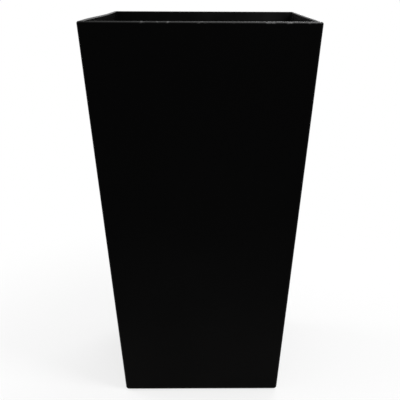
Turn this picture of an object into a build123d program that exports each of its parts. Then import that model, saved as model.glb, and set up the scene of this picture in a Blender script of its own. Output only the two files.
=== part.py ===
from build123d import *
import math
import os

# A tall square planter of moulded black plastic, wider at the rim than at the base.
# The shell is a single moulding: four thin sloping walls that thicken a little towards a rounded
# top edge, and a floor whose middle is raised off the ground. Inside, a slotted grid stands on the
# floor and keeps the soil above the water. Four plugs close the drain holes, and four rubber pads
# carry the planter. Millimetres, +Z up, origin on the ground under the middle.

# Overall size. Both widths are between the flat outer faces, carried to the top and to the bottom
overall_height = 610.0
top_width = 342.0
base_width = 256.0

# Shell wall and its rounded edges
wall = 3.2
corner_radius = 6.0
inner_corner_radius = 2.8
base_edge_radius = 3.0

# Rim: over this depth the inner face stands upright, which thickens the wall towards its top
rim_depth = 28.0
rim_outer_radius = 2.8
rim_inner_radius = 2.0
rim_least_flat = 0.1

# Floor: a band round the edge stands lowest, and the panel inside it is raised
floor_thickness = 3.5
base_band = 30.0
recess_depth = 6.0
recess_corner_radius = 10.0
panel_edge_radius = 1.5

# Ribs that stiffen the raised panel from below, as many each way
rib_count = 3
rib_spacing = 38.0
rib_thickness = 2.5
rib_lift = 1.0

# Rubber pads, glued into shallow sockets under the corners of the band
foot_height = 2.0
foot_diameter = 17.0
foot_inset = 15.0
foot_edge_radius = 0.6
socket_depth = 1.5
socket_gap = 0.2

# Drain holes in the raised panel, and the plug that closes each of them
drain_diameter = 12.7
drain_spacing = 120.0
plug_gap = 0.1
plug_head_diameter = 20.0
plug_head_thickness = 2.2
plug_reach = 3.5
plug_tip_taper = 0.6
plug_knob_diameter = 8.0
plug_knob_height = 5.0
plug_knob_radius = 1.2

# Watering grid: a slotted plate with a skirt, which stands on four legs
reservoir_depth = 66.0
grid_thickness = 2.8
grid_gap = 1.8
grid_corner_radius = 5.0
grid_edge_radius = 0.9
skirt_depth = 10.0
skirt_thickness = 2.2
leg_spacing = 170.0
leg_width = 15.0
leg_rib = 2.6
finger_hole_diameter = 24.0
finger_hole_spacing = 160.0

# Basket in the middle of the grid, which holds soil down in the water
basket_top_width = 74.0
basket_bottom_width = 56.0
basket_wall = 2.4
basket_corner_radius = 4.4
basket_slot_width = 3.0
basket_slot_pitch = 12.0
basket_slot_margin = 11.0

# Slots of the grid, in rows along X
slot_length = 26.0
slot_width = 3.2
slot_pitch_x = 34.0
slot_pitch_y = 10.0
slot_margin = 4.0

# How far a cutting shape runs past the face that it opens
overcut = 1.0

# Levels and slopes that follow from the sizes above
shell_bottom = foot_height
band_top = shell_bottom + floor_thickness
panel_bottom = shell_bottom + recess_depth
panel_top = panel_bottom + floor_thickness
rim_bottom = overall_height - rim_depth
slope = (top_width - base_width) / 2 / (overall_height - shell_bottom)
wall_run = wall * math.sqrt(1 + slope**2)
plate_bottom = panel_top + reservoir_depth
plate_top = plate_bottom + grid_thickness
skirt_bottom = plate_bottom - skirt_depth

sides = {"left": -1, "right": 1}
ends = {"front": -1, "back": 1}


def outer_half(z):
    """Half the outside width of the shell at height z, between its flat faces."""
    return base_width / 2 + slope * (z - shell_bottom)


def corner_places(reach):
    """The corners of a square of this half width, by name."""
    return {f"{end}_{side}": (x * reach, y * reach) for end, y in ends.items() for side, x in sides.items()}


def upright_edges(solid):
    """The edges of a block that run from its bottom to its top."""
    return solid.edges().filter_by(lambda edge: abs(edge.tangent_at(0.5).Z) > 0.5)


def edges_at(solid, z):
    """The edges of a solid that lie flat at height z."""
    return solid.edges().filter_by_position(Axis.Z, z - 0.01, z + 0.01)


def tapered_block(low_width, high_width, z_low, z_high, radius):
    """A square block that widens evenly from its bottom to its top, with rounded upright edges."""
    low = Pos(0, 0, z_low) * Rectangle(low_width, low_width)
    high = Pos(0, 0, z_high) * Rectangle(high_width, high_width)
    block = loft([low.face(), high.face()], ruled=True)
    return fillet(upright_edges(block), radius)


def shell_block(inset, z_low, z_high, radius):
    """A block whose sides lie parallel to the shell's, this far inside them."""
    low_width = 2 * (outer_half(z_low) - inset)
    high_width = 2 * (outer_half(z_high) - inset)
    return tapered_block(low_width, high_width, z_low, z_high, radius)


def straight_block(width, z_low, z_high, radius):
    """A square block with upright sides and rounded upright edges."""
    return extrude(Pos(0, 0, z_low) * RectangleRounded(width, width, radius), z_high - z_low)


def top_face(solid):
    """The highest flat face of a solid."""
    return solid.faces().filter_by(Plane.XY).sort_by(Axis.Z)[-1]


def rib_grid(length):
    """Thin ribs that cross under the raised panel, this long each way."""
    rib_bottom = shell_bottom + rib_lift
    rib_height = panel_bottom - rib_bottom
    ribs = Part()
    for index in range(rib_count):
        offset = (index - (rib_count - 1) / 2) * rib_spacing
        middle = Pos(0, 0, rib_bottom + rib_height / 2)
        ribs += middle * Pos(offset, 0, 0) * Box(rib_thickness, length, rib_height)
        ribs += middle * Pos(0, offset, 0) * Box(length, rib_thickness, rib_height)
    return ribs


def inner_rounding():
    """The radius of the rim's inner edge, where the wall's top leaves room for it."""
    top_thickness = wall_run + slope * rim_depth
    half_angle = (math.pi / 2 - math.atan(slope)) / 2
    outer_setback = rim_outer_radius / math.tan(half_angle)
    return min(rim_inner_radius, top_thickness - outer_setback - rim_least_flat)


def inner_space():
    """The space between the walls: it widens up to the rim, where its sides turn upright."""
    rim_half = outer_half(rim_bottom) - wall_run
    levels = {
        band_top: outer_half(band_top) - wall_run,
        rim_bottom: rim_half,
        overall_height + overcut: rim_half,
    }
    sections = []
    for z, half in levels.items():
        section = Pos(0, 0, z) * RectangleRounded(2 * half, 2 * half, inner_corner_radius)
        sections.append(section.face())
    return loft(sections, ruled=True)


def planter_shell():
    """The one-piece body: walls with their rounded rim, and the floor with its drain holes."""
    body = shell_block(0, shell_bottom, overall_height, corner_radius)
    body = fillet(edges_at(body, shell_bottom), base_edge_radius)
    body -= inner_space()

    panel_width = base_width - 2 * base_band
    raised_width = panel_width + 2 * floor_thickness
    raised_radius = recess_corner_radius + floor_thickness
    raised = straight_block(raised_width, shell_bottom + floor_thickness / 2, panel_top, raised_radius)
    body += fillet(edges_at(raised, panel_top), panel_edge_radius)
    body -= straight_block(panel_width, shell_bottom - overcut, panel_bottom, recess_corner_radius)
    body += rib_grid(panel_width)

    body = fillet(top_face(body).outer_wire().edges(), rim_outer_radius)
    body = fillet(top_face(body).inner_wires()[0].edges(), inner_rounding())

    drain_length = floor_thickness + 2 * overcut
    for x, y in corner_places(drain_spacing / 2).values():
        hole = Cylinder(drain_diameter / 2, drain_length)
        body -= Pos(x, y, (panel_bottom + panel_top) / 2) * hole
    for x, y in corner_places(base_width / 2 - foot_inset).values():
        socket = Circle(foot_diameter / 2 + socket_gap)
        body -= Pos(x, y, shell_bottom - overcut) * extrude(socket, socket_depth + overcut)
    return body


def foot_pad(x, y):
    """A rubber disc, glued into its socket and standing proud of it."""
    pad = extrude(Circle(foot_diameter / 2), foot_height + socket_depth)
    return Pos(x, y, 0) * fillet(edges_at(pad, 0), foot_edge_radius)


def drain_plug(x, y):
    """A soft plug: a flat head on the floor, a shank through the hole and a knob to pull it by."""
    shank_radius = drain_diameter / 2 - plug_gap
    shank_bottom = panel_bottom - plug_reach
    head_top = panel_top + plug_head_thickness
    knob_top = head_top + plug_knob_height
    profile = Polyline(
        (0, shank_bottom),
        (shank_radius - plug_tip_taper, shank_bottom),
        (shank_radius, panel_bottom),
        (shank_radius, panel_top),
        (plug_head_diameter / 2, panel_top),
        (plug_head_diameter / 2, head_top),
        (plug_knob_diameter / 2, head_top),
        (plug_knob_diameter / 2, knob_top),
        (0, knob_top),
        close=True,
    )
    plug = revolve(Plane.XZ * make_face(profile), Axis.Z)
    return Pos(x, y, 0) * fillet(edges_at(plug, knob_top), plug_knob_radius)


def keep_outs():
    """Squares of the plate that hold no slots, each as its middle and half its width."""
    legs = [(x, y, leg_width / 2) for x, y in corner_places(leg_spacing / 2).values()]
    fingers = [(x * finger_hole_spacing / 2, 0, finger_hole_diameter / 2) for x in sides.values()]
    return [(0, 0, basket_top_width / 2)] + legs + fingers


def slot_is_clear(x, y):
    """Whether a slot centred here stays off the basket, the legs and the finger holes."""
    reach_x = slot_length / 2 + slot_margin
    reach_y = slot_width / 2 + slot_margin
    return all(
        abs(x - middle_x) > half + reach_x or abs(y - middle_y) > half + reach_y
        for middle_x, middle_y, half in keep_outs()
    )


def slot_centres(width):
    """The places of the slots on a plate of this width, in rows centred on the plate."""
    border = skirt_thickness + slot_margin
    columns = int((width - 2 * border - slot_length) // slot_pitch_x) + 1
    rows = int((width - 2 * border - slot_width) // slot_pitch_y) + 1
    xs = [(column - (columns - 1) / 2) * slot_pitch_x for column in range(columns)]
    ys = [(row - (rows - 1) / 2) * slot_pitch_y for row in range(rows)]
    return [(x, y) for x in xs for y in ys if slot_is_clear(x, y)]


def basket_walls():
    """The tapering basket, open at the plate, with upright slots in its four walls."""
    outside = tapered_block(
        basket_bottom_width, basket_top_width, panel_top, plate_top, basket_corner_radius
    )
    inside = tapered_block(
        basket_bottom_width - 2 * basket_wall,
        basket_top_width - 2 * basket_wall,
        panel_top + basket_wall,
        plate_top,
        basket_corner_radius - basket_wall,
    )
    slot_height = reservoir_depth - 2 * basket_slot_margin
    slot_reach = basket_top_width + 2 * overcut
    middle = Pos(0, 0, panel_top + reservoir_depth / 2)
    slots = Part()
    for offset in (-basket_slot_pitch, 0, basket_slot_pitch):
        slots += middle * Pos(0, offset, 0) * Box(slot_reach, basket_slot_width, slot_height)
        slots += middle * Pos(offset, 0, 0) * Box(basket_slot_width, slot_reach, slot_height)
    return outside, inside, slots


def watering_grid():
    """The plate that holds up the soil, with its skirt, legs, basket, slots and finger holes."""
    width = 2 * (outer_half(skirt_bottom) - wall_run - grid_gap)
    inner_width = width - 2 * skirt_thickness
    inner_radius = grid_corner_radius - skirt_thickness
    grid = straight_block(width, skirt_bottom, plate_top, grid_corner_radius)
    grid = fillet(edges_at(grid, plate_top), grid_edge_radius)
    grid -= straight_block(inner_width, skirt_bottom - overcut, plate_bottom, inner_radius)

    for x, y in corner_places(leg_spacing / 2).values():
        middle = Pos(x, y, (panel_top + plate_bottom) / 2)
        grid += middle * Box(leg_width, leg_rib, reservoir_depth)
        grid += middle * Box(leg_rib, leg_width, reservoir_depth)

    basket_outside, basket_inside, basket_slots = basket_walls()
    grid += basket_outside
    grid -= basket_inside
    grid -= basket_slots

    openings = Sketch() + [Pos(x, y) * SlotOverall(slot_length, slot_width) for x, y in slot_centres(width)]
    for x in sides.values():
        openings += Pos(x * finger_hole_spacing / 2, 0) * Circle(finger_hole_diameter / 2)
    grid -= extrude(Pos(0, 0, plate_bottom - overcut) * openings, grid_thickness + 2 * overcut)
    return grid


pieces = {"planter_shell": planter_shell(), "watering_grid": watering_grid()}
for place, (x, y) in corner_places(drain_spacing / 2).items():
    pieces[f"drain_plug_{place}"] = drain_plug(x, y)
for place, (x, y) in corner_places(base_width / 2 - foot_inset).items():
    pieces[f"foot_pad_{place}"] = foot_pad(x, y)

os.makedirs("parts", exist_ok=True)
for name, solid in pieces.items():
    export_step(solid, f"parts/{name}.step")
    print(name, "volume", round(solid.volume, 1), "solids", len(solid.solids()))
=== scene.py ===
import math

import bmesh
import bpy
from mathutils import Matrix, Vector


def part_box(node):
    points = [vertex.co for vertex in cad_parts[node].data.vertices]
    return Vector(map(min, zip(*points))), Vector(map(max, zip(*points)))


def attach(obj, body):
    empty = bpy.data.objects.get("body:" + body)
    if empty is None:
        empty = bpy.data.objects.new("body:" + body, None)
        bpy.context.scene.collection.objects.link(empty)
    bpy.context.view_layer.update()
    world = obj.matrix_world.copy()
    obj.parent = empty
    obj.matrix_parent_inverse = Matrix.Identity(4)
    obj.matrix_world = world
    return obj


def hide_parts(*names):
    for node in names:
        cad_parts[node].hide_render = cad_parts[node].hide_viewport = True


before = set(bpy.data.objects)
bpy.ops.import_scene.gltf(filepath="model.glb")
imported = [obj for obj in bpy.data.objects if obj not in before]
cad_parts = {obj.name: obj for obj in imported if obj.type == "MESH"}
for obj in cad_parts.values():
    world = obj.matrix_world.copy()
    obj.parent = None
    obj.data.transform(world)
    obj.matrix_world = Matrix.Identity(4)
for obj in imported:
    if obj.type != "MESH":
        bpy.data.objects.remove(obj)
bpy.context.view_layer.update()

# The shell: one injection moulding of black polypropylene, its walls, rim and floor in one piece.
# The tall walls draw in a little as they cool, and the left one leans in towards its back corner.
# Lengths are in metres. Starts and ends on the walls are shares of their height or depth.
shell_low, shell_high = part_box("planter_shell")
shell_height = shell_high.z - shell_low.z
rim_half = shell_high.x
foot_half = 0.128
merge_distance = 1e-6
cut_tolerance = 1e-7
cut_spacing = 0.018
uncut_below_rim = 0.005
bow_start = 0.35
wall_bow = {"left": 0.0006, "right": 0.0004, "front": 0.0006, "back": 0.0005}
left_lean = 0.0085
lean_start = 0.15
lean_end = 0.70
core_depth = 0.003
smooth_angle = math.radians(32)


def ease(value):
    """Runs smoothly from 0 to 1 while the value does."""
    value = max(0.0, min(1.0, value))
    return value * value * (3 - 2 * value)


def rise_of(place):
    """How high a point lies on the shell, as a share of its height."""
    return (place.z - shell_low.z) / shell_height


def half_width(rise):
    """Half the width of the shell at a height."""
    return foot_half + (rim_half - foot_half) * rise


def cut_across(mesh, axis, low, high):
    """Cuts a mesh square to an axis at even steps, so that its flat walls can bend."""
    steps = int((high - low) / cut_spacing)
    normal = Vector((0, 0, 0))
    normal[axis] = 1
    for step in range(1, steps):
        place = Vector((0, 0, 0))
        place[axis] = low + (high - low) * step / steps
        everything = mesh.verts[:] + mesh.edges[:] + mesh.faces[:]
        bmesh.ops.bisect_plane(mesh, geom=everything, dist=cut_tolerance, plane_co=place, plane_no=normal)


def bow_of(place):
    """How far a point of the shell moves as the walls draw in."""
    rise = rise_of(place)
    half = half_width(rise)
    amount = ease((rise - bow_start) / (1 - bow_start))
    along_y = max(0.0, 1 - (place.y / half) ** 2)
    along_x = max(0.0, 1 - (place.x / half) ** 2)
    side = "left" if place.x < 0 else "right"
    end = "front" if place.y < 0 else "back"
    move_x = wall_bow[side] * along_y
    if side == "left":
        depth = (place.y + half) / (2 * half)
        move_x += left_lean * ease((depth - lean_start) / (lean_end - lean_start))
    move_x *= amount * ease(abs(place.x) / half)
    move_y = wall_bow[end] * along_x * amount * ease(abs(place.y) / half)
    if side == "right":
        move_x = -move_x
    if end == "back":
        move_y = -move_y
    return Vector((move_x, move_y, 0))


def finish_shading(mesh):
    """Smooth faces, with an edge kept crisp wherever two faces meet at a clear angle."""
    for face in mesh.faces:
        face.smooth = True
    for edge in mesh.edges:
        edge.smooth = not (edge.is_manifold and edge.calc_face_angle(0) > smooth_angle)


shaping = bmesh.new()
shaping.from_mesh(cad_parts["planter_shell"].data)
bmesh.ops.remove_doubles(shaping, verts=shaping.verts, dist=merge_distance)
cut_across(shaping, 0, -rim_half, rim_half)
cut_across(shaping, 1, -rim_half, rim_half)
cut_across(shaping, 2, shell_low.z + bow_start * shell_height, shell_high.z - uncut_below_rim)
core_mark = shaping.verts.layers.float.new("core_side")
for point in shaping.verts:
    outside = half_width(rise_of(point.co))
    depth_in = outside - max(abs(point.co.x), abs(point.co.y))
    point[core_mark] = 1.0 if depth_in > core_depth else 0.0
    point.co += bow_of(point.co)
finish_shading(shaping)
shell_mesh = bpy.data.meshes.new("moulded_shell")
shaping.to_mesh(shell_mesh)
shaping.free()
shell = bpy.data.objects.new("moulded_shell", shell_mesh)
bpy.context.scene.collection.objects.link(shell)
even_normals = shell.modifiers.new("even_normals", "WEIGHTED_NORMAL")
even_normals.keep_sharp = True

# What every moulded piece has: broad blotches in its colour and gloss, and a fine pressed grain.
# A Mix node has several sockets of each name, so its colour sockets are told by their numbers.
blotch_scale = 9
blotch_detail = 4
blotch_low = 0.3
blotch_high = 0.7
glossiest = 0.9
dullest = 1.12
grain_detail = 3
grain_strength = 0.35
mix_amount = 0
mix_under = 6
mix_over = 7
mix_result = 2


def moulded(name, colour, roughness, specular, grain_size, grain_depth, mottle):
    """A moulded material: its colour, a mottled gloss, and a fine grain pressed in by the mould."""
    material = bpy.data.materials.new(name)
    material.use_nodes = True
    nodes = material.node_tree.nodes
    links = material.node_tree.links
    skin = nodes["Principled BSDF"]
    skin.inputs["Specular IOR Level"].default_value = specular
    coordinates = nodes.new("ShaderNodeTexCoord")
    coordinates.name = "coordinates"

    blotch = nodes.new("ShaderNodeTexNoise")
    blotch.inputs["Scale"].default_value = blotch_scale
    blotch.inputs["Detail"].default_value = blotch_detail
    links.new(coordinates.outputs["Object"], blotch.inputs["Vector"])
    tint = nodes.new("ShaderNodeMix")
    tint.name = "tint"
    tint.data_type = "RGBA"
    tint.inputs[mix_under].default_value = (*[part * (1 - mottle) for part in colour], 1)
    tint.inputs[mix_over].default_value = (*[part * (1 + mottle) for part in colour], 1)
    links.new(blotch.outputs["Fac"], tint.inputs[mix_amount])
    links.new(tint.outputs[mix_result], skin.inputs["Base Color"])

    gloss = nodes.new("ShaderNodeMapRange")
    gloss.inputs["From Min"].default_value = blotch_low
    gloss.inputs["From Max"].default_value = blotch_high
    gloss.inputs["To Min"].default_value = roughness * glossiest
    gloss.inputs["To Max"].default_value = roughness * dullest
    links.new(blotch.outputs["Fac"], gloss.inputs["Value"])
    links.new(gloss.outputs["Result"], skin.inputs["Roughness"])

    grain = nodes.new("ShaderNodeTexNoise")
    grain.inputs["Scale"].default_value = 1 / grain_size
    grain.inputs["Detail"].default_value = grain_detail
    links.new(coordinates.outputs["Object"], grain.inputs["Vector"])
    press = nodes.new("ShaderNodeBump")
    press.inputs["Strength"].default_value = grain_strength
    press.inputs["Distance"].default_value = grain_depth
    links.new(grain.outputs["Fac"], press.inputs["Height"])
    links.new(press.outputs["Normal"], skin.inputs["Normal"])
    return material


shell_black = moulded(
    "moulded_black",
    colour=(0.0007, 0.0007, 0.00072),
    roughness=0.24,
    specular=0.0145,
    grain_size=0.0009,
    grain_depth=0.00012,
    mottle=0.18,
)
shell_nodes = shell_black.node_tree.nodes
shell_links = shell_black.node_tree.links
shell_place = shell_nodes["coordinates"].outputs["Object"]
mark_detail = 5


def reckon(operation, first, second):
    """One sum in the shell's material. Either term is a number or another node's output."""
    node = shell_nodes.new("ShaderNodeMath")
    node.operation = operation
    for socket, term in zip(node.inputs, (first, second)):
        if isinstance(term, (int, float)):
            socket.default_value = term
        else:
            shell_links.new(term, socket)
    return node.outputs["Value"]


def ramp(value, start, end, low=0.0, high=1.0):
    """Runs from low to high while the value runs from start to end."""
    node = shell_nodes.new("ShaderNodeMapRange")
    for name, number in (("From Min", start), ("From Max", end), ("To Min", low), ("To Max", high)):
        node.inputs[name].default_value = number
    shell_links.new(value, node.inputs["Value"])
    return node.outputs["Result"]


def speckle(scale, start, end, low=0.0, high=1.0):
    """Broken marks of noise: high where they are, and low between them."""
    node = shell_nodes.new("ShaderNodeTexNoise")
    node.inputs["Scale"].default_value = scale
    node.inputs["Detail"].default_value = mark_detail
    shell_links.new(shell_place, node.inputs["Vector"])
    return ramp(node.outputs["Fac"], start, end, low, high)


def overlay(base, amount, colour):
    """Lays a colour over another one."""
    node = shell_nodes.new("ShaderNodeMix")
    node.data_type = "RGBA"
    node.inputs[mix_over].default_value = (*colour, 1)
    shell_links.new(amount, node.inputs[mix_amount])
    shell_links.new(base, node.inputs[mix_under])
    return node.outputs[mix_result]


spot = shell_nodes.new("ShaderNodeSeparateXYZ")
shell_links.new(shell_place, spot.inputs["Vector"])

# The core side of the moulding is duller and greyer than the polished outside. On it lie patches
# that are partly dust and partly painted light: their lightening towards the right is painted light.
core_colour = (0.0026, 0.0026, 0.0026)
dust_and_light_colour = (0.0105, 0.0105, 0.0103)
dust_and_light_reach = 0.8 * rim_half
dust_and_light_left = 0.08
dust_and_light_right = 0.8
core_side = shell_nodes.new("ShaderNodeAttribute")
core_side.attribute_name = "core_side"
inside = core_side.outputs["Fac"]
skin_colour = overlay(shell_nodes["tint"].outputs[mix_result], inside, core_colour)
to_right = ramp(spot.outputs["X"], -dust_and_light_reach, dust_and_light_reach, dust_and_light_left, dust_and_light_right)
patches = speckle(scale=26, start=0.35, end=0.68, low=0.55, high=1.35)
# Painted light mixed with dust: the inner walls grow lighter towards the right.
dust_and_painted_light = reckon("MULTIPLY", inside, reckon("MULTIPLY", to_right, patches))
skin_colour = overlay(skin_colour, dust_and_painted_light, dust_and_light_colour)

# A painted reflection of the floor lies low on the walls, strongest at the foot and cloudy in places.
painted_reflection_colour = (0.0036, 0.0035, 0.0034)
painted_reflection_top = 0.34
painted_reflection_fade = 1.4
low_down = reckon("POWER", ramp(spot.outputs["Z"], painted_reflection_top, shell_low.z), painted_reflection_fade)
clouds = speckle(scale=7, start=0.3, end=0.7, low=0.5, high=0.75)
# Painted floor reflection: the walls grow lighter towards the foot.
skin_colour = overlay(skin_colour, reckon("MULTIPLY", low_down, clouds), painted_reflection_colour)

# A painted highlight runs pale along the top of the rim, most of all at the front on the right,
# where the rim is finely scuffed too. Depths are below the rim, and reaches are in from the front.
rim_highlight_colour = (0.11, 0.11, 0.11)
highlight_depth = 0.0022
highlight_full_depth = 0.0003
highlight_at_left = 0.16
front_reach = 0.02
front_full_reach = 0.005
highlight_and_scuffs_behind = 0.06
scuff_colour = (0.2, 0.2, 0.2)
scuff_depth = 0.003
scuff_full_depth = 0.0005
near_top = ramp(spot.outputs["Z"], shell_high.z - highlight_depth, shell_high.z - highlight_full_depth)
by_side = ramp(spot.outputs["X"], -rim_half, rim_half, highlight_at_left)
at_front = ramp(spot.outputs["Y"], front_reach - rim_half, front_full_reach - rim_half, highlight_and_scuffs_behind)
painted_rim_highlight = reckon("MULTIPLY", near_top, reckon("MULTIPLY", by_side, at_front))
# Painted highlight along the rim's top edge, brightest at the front on the right.
skin_colour = overlay(skin_colour, painted_rim_highlight, rim_highlight_colour)
near_rim = ramp(spot.outputs["Z"], shell_high.z - scuff_depth, shell_high.z - scuff_full_depth)
scuffs = speckle(scale=90, start=0.58, end=0.7)
scuffed = reckon("MULTIPLY", near_rim, reckon("MULTIPLY", scuffs, at_front))
skin_colour = overlay(skin_colour, scuffed, scuff_colour)
shell_links.new(skin_colour, shell_nodes["Principled BSDF"].inputs["Base Color"])

shell_mesh.materials.append(shell_black)
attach(shell, "planter")
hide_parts("planter_shell")

# The watering grid: a loose black moulding that stands on the floor and holds up the soil.
# Its plastic is greyer than the shell's, and its grain is coarser and much shallower.
grid_black = moulded(
    "grid_black",
    colour=(0.006, 0.006, 0.006),
    roughness=0.36,
    specular=0.4,
    grain_size=0.0014,
    grain_depth=0.00003,
    mottle=0.2,
)


def dress(node, material):
    """Gives a CAD piece its finish."""
    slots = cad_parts[node].data.materials
    slots.clear()
    slots.append(material)


dress("watering_grid", grid_black)

# The plugs: soft black rubber. Each is pushed into its drain hole from inside, and the knob on its
# head pulls it out again.
corners = [f"{end}_{side}" for end in ("front", "back") for side in ("left", "right")]
plug_rubber = moulded(
    "plug_rubber",
    colour=(0.010, 0.010, 0.010),
    roughness=0.66,
    specular=0.35,
    grain_size=0.0006,
    grain_depth=0.00004,
    mottle=0.25,
)
for corner in corners:
    dress(f"drain_plug_{corner}", plug_rubber)

# The pads: dark rubber discs, glued into sockets under the four corners. They are the dullest
# pieces, and carry the planter on their flat undersides.
pad_rubber = moulded(
    "pad_rubber",
    colour=(0.014, 0.014, 0.014),
    roughness=0.75,
    specular=0.3,
    grain_size=0.0007,
    grain_depth=0.00006,
    mottle=0.3,
)
for corner in corners:
    dress(f"foot_pad_{corner}", pad_rubber)

# The floor: a plain pale studio floor. It is white to the eye and in reflections, and near the
# planter it keeps some of the real shade, so that the planter stands in its own soft shadow.
floor_reach = 14.0
floor_colour = (0.93, 0.93, 0.93)
floor_roughness = 0.9
shade_start = 0.30
shade_end = 0.75
shade_kept = 0.30


def whiteness(nodes, links):
    """1 where the eye or a reflection looks, and 0 where light is carried on."""
    rays = nodes.new("ShaderNodeLightPath")
    total = rays.outputs["Is Camera Ray"]
    for kind in ("Is Glossy Ray", "Is Transmission Ray"):
        either = nodes.new("ShaderNodeMath")
        either.operation = "MAXIMUM"
        links.new(total, either.inputs[0])
        links.new(rays.outputs[kind], either.inputs[1])
        total = either.outputs["Value"]
    return total


ground = bmesh.new()
bmesh.ops.create_grid(ground, x_segments=1, y_segments=1, size=floor_reach)
floor_mesh = bpy.data.meshes.new("studio_floor")
ground.to_mesh(floor_mesh)
ground.free()
floor = bpy.data.objects.new("studio_floor", floor_mesh)
bpy.context.scene.collection.objects.link(floor)
paper = bpy.data.materials.new("pale_paper")
paper.use_nodes = True
paper_nodes = paper.node_tree.nodes
paper_links = paper.node_tree.links
sheet = paper_nodes["Principled BSDF"]
sheet.inputs["Base Color"].default_value = (*floor_colour, 1)
sheet.inputs["Roughness"].default_value = floor_roughness
white = paper_nodes.new("ShaderNodeEmission")
floor_place = paper_nodes.new("ShaderNodeTexCoord")
distance = paper_nodes.new("ShaderNodeVectorMath")
distance.operation = "LENGTH"
paper_links.new(floor_place.outputs["Object"], distance.inputs[0])
far = paper_nodes.new("ShaderNodeMapRange")
far.interpolation_type = "SMOOTHSTEP"
far.inputs["From Min"].default_value = shade_start
far.inputs["From Max"].default_value = shade_end
far.inputs["To Min"].default_value = 1 - shade_kept
paper_links.new(distance.outputs["Value"], far.inputs["Value"])
share = paper_nodes.new("ShaderNodeMath")
share.operation = "MULTIPLY"
paper_links.new(far.outputs["Result"], share.inputs[0])
paper_links.new(whiteness(paper_nodes, paper_links), share.inputs[1])
blend = paper_nodes.new("ShaderNodeMixShader")
paper_links.new(share.outputs["Value"], blend.inputs["Fac"])
paper_links.new(sheet.outputs["BSDF"], blend.inputs[1])
paper_links.new(white.outputs["Emission"], blend.inputs[2])
paper_links.new(blend.outputs["Shader"], paper_nodes["Material Output"].inputs["Surface"])
floor_mesh.materials.append(paper)

# The light: a soft panel close above the front on the right, broad ones on the left and behind, a
# low one that sweeps the foot of the front, and a white studio all round. The low one stays out of
# reflections. Each panel has its place, the point that it faces, its width and its watts.
studio_light = 0.45
panels = {
    "key_panel": ((0.62, -0.5, 1.05), (0.08, 0.0, 0.58), 0.4, 6.5),
    "left_panel": ((-1.5, 0.3, 1.4), (0.0, 0.0, 0.4), 1.2, 14),
    "back_panel": ((0.7, 1.5, 1.2), (0.0, 0.0, 0.4), 1.0, 14),
    "foot_panel": ((0.0, -0.62, 0.06), (0.0, -0.13, 0.08), 0.4, 1.7),
}
for name, (stand, target, width, power) in panels.items():
    lamp = bpy.data.lights.new(name, "AREA")
    lamp.shape = "SQUARE"
    lamp.size = width
    lamp.energy = power
    panel = bpy.data.objects.new(name, lamp)
    panel.visible_camera = False
    panel.visible_glossy = name != "foot_panel"
    panel.location = stand
    panel.rotation_euler = (Vector(target) - Vector(stand)).to_track_quat("-Z", "Y").to_euler()
    bpy.context.scene.collection.objects.link(panel)

world = bpy.data.worlds.new("studio")
bpy.context.scene.world = world
world.use_nodes = True
sky_nodes = world.node_tree.nodes
sky_links = world.node_tree.links
strength = sky_nodes.new("ShaderNodeMapRange")
strength.inputs["To Min"].default_value = studio_light
strength.inputs["To Max"].default_value = 1
sky_links.new(whiteness(sky_nodes, sky_links), strength.inputs["Value"])
sky_nodes["Background"].inputs["Color"].default_value = (1, 1, 1, 1)
sky_links.new(strength.outputs["Result"], sky_nodes["Background"].inputs["Strength"])

# The camera: a little above the rim, square on to the front face and tipped down at it. Its place
# and angles, in metres and radians, and its focal length were fitted to the planter's outline.
camera_place = Vector((0.00843, -1.13851, 0.66142))
camera_turn = 0.01458
camera_tip = 0.30836
camera_roll = 0.00463
focal_pixels = 683.5
centre_column = 215.91
picture_width = 400
sensor_width = 36.0
camera_data = bpy.data.cameras.new("camera")
camera_data.sensor_width = sensor_width
camera_data.lens = focal_pixels / picture_width * sensor_width
camera_data.shift_x = (picture_width / 2 - centre_column) / picture_width
camera = bpy.data.objects.new("camera", camera_data)
camera.matrix_world = (
    Matrix.Translation(camera_place)
    @ Matrix.Rotation(-camera_turn, 4, "Z")
    @ Matrix.Rotation(math.pi / 2 - camera_tip, 4, "X")
    @ Matrix.Rotation(camera_roll, 4, "Z")
)
bpy.context.scene.collection.objects.link(camera)
bpy.context.scene.camera = camera
bpy.context.scene.view_settings.view_transform = "Standard"
